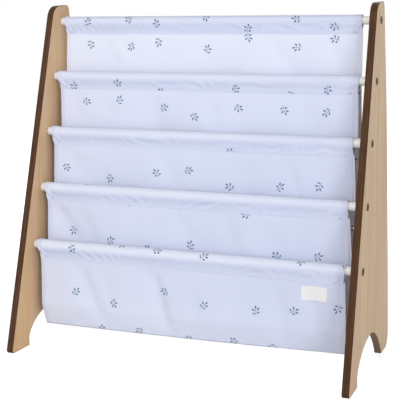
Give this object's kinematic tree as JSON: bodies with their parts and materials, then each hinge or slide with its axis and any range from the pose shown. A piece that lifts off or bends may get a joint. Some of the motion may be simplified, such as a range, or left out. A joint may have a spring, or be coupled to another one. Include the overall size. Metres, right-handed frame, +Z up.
{
  "type": "sling bookshelf",
  "caption": "Low children's bookshelf: two tapered wooden side panels joined by slanting rows of round rods that carry one cloth sling with deep pockets.",
  "frame": {"origin": "on the floor, below the middle of the side panels' width and depth", "axes": "+X along the rods to the right as seen from the front, -Y towards the front, +Z up"},
  "size_m": [0.6092, 0.2936, 0.6058],
  "materials": {
    "veneer": "satin pale veneer faces with dark stained edges",
    "white_paint": "satin white paint on hardwood dowel",
    "bronze": "dark bronze, lightly worn at the rim",
    "zinc_steel": "zinc plated",
    "sling_cloth": "smooth pale lavender-blue polyester-cotton with small scattered sprigs",
    "label_cloth": "cream woven ribbon, bare"
  },
  "bodies": {
    "root": {"side_panel_left": "veneer", "side_panel_right": "veneer", "rod_1": "white_paint", "rod_2": "white_paint", "rod_3": "white_paint", "rod_4": "white_paint", "rod_5": "white_paint", "bolt_left_1": "bronze", "bolt_left_2": "bronze", "bolt_left_3": "bronze", "bolt_left_4": "bronze", "bolt_left_5": "bronze", "bolt_right_1": "bronze", "bolt_right_2": "bronze", "bolt_right_3": "bronze", "bolt_right_4": "bronze", "bolt_right_5": "bronze", "insert_left_1": "zinc_steel", "insert_left_2": "zinc_steel", "insert_left_3": "zinc_steel", "insert_left_4": "zinc_steel", "insert_left_5": "zinc_steel", "insert_right_1": "zinc_steel", "insert_right_2": "zinc_steel", "insert_right_3": "zinc_steel", "insert_right_4": "zinc_steel", "insert_right_5": "zinc_steel", "sleeve_1": "sling_cloth", "sleeve_2": "sling_cloth", "sleeve_3": "sling_cloth", "sleeve_4": "sling_cloth", "sleeve_5": "sling_cloth", "pocket_1": "sling_cloth", "pocket_2": "sling_cloth", "pocket_3": "sling_cloth", "pocket_4": "sling_cloth", "label": "label_cloth"}
  },
  "joints": []
}
